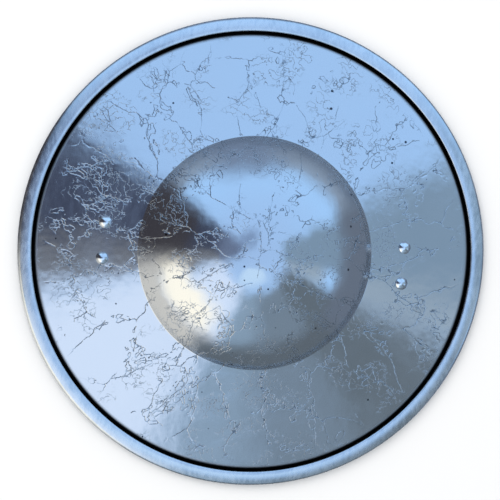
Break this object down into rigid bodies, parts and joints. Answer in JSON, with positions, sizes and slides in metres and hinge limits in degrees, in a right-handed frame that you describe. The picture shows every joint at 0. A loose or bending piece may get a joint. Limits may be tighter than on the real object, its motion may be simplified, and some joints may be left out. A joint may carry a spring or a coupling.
{
  "type": "buckler shield",
  "caption": "Round dished steel shield with a domed boss, a folded rim strip and a riveted strap handle across the hollow behind the boss.",
  "frame": {"origin": "on the plane of the rim's flat underside, under the middle of the shield", "axes": "+Z out of the shield's front through the top of the boss, +X along the grip, +Y across it"},
  "size_m": [0.3, 0.3, 0.0638],
  "materials": {
    "etched_steel": "polished sheet steel, etched with fine crinkled contour lines",
    "satin_steel": "satin steel strip, finely brushed along its length, with small pits",
    "handle_steel": "plain steel strap, brushed and a little darkened by the hand",
    "rivet_steel": "mirror-polished domed heads, hammered behind"
  },
  "bodies": {
    "root": {"shield_plate": "etched_steel", "rim_ring": "satin_steel", "handle": "handle_steel", "rivet_left_upper": "rivet_steel", "rivet_left_lower": "rivet_steel", "rivet_right_upper": "rivet_steel", "rivet_right_lower": "rivet_steel"}
  },
  "joints": []
}
